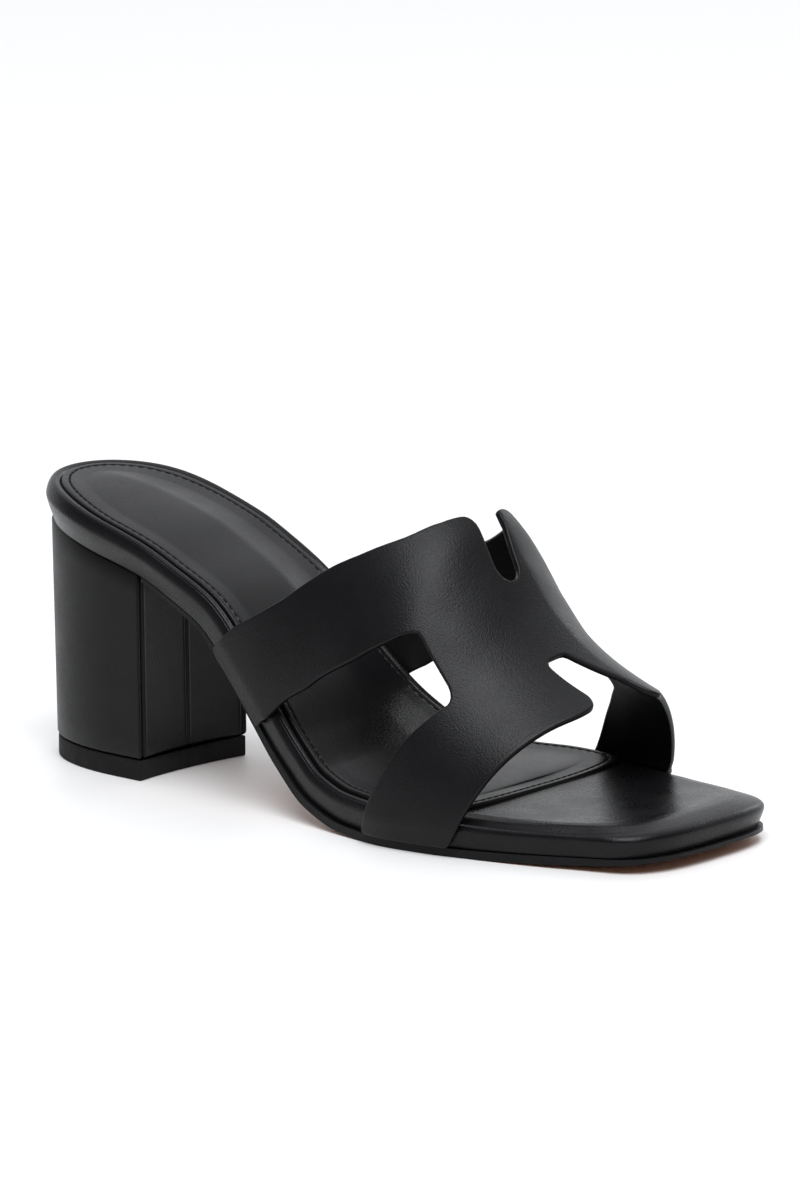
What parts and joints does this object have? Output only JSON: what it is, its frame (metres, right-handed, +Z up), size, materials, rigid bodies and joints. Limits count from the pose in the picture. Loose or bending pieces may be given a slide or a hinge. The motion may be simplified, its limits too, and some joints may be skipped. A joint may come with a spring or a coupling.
{
  "type": "block heel mule",
  "caption": "Right women's open toe slide with a covered block heel, wrapped footbed and a one-piece strap upper with side openings.",
  "frame": {"origin": "centre of the bounding box's base, on the floor the shoe stands on", "axes": "+X towards the toe, +Y towards the inner side of this right shoe, +Z up"},
  "size_m": [0.2318, 0.0916, 0.0884],
  "materials": {
    "outsole_leather": "smooth tan sole leather, edge stained black",
    "footbed_leather": "smooth black leather, soft gloss",
    "sock_leather": "smooth black leather over padding",
    "upper_leather": "fine grained black leather, satin",
    "heel_leather": "smooth black leather cover, satin",
    "lift_rubber": "matte black rubber"
  },
  "bodies": {
    "root": {"outsole": "outsole_leather", "footbed": "footbed_leather", "insole": "sock_leather", "upper": "upper_leather", "heel": "heel_leather", "heel_lift": "lift_rubber"}
  },
  "joints": []
}
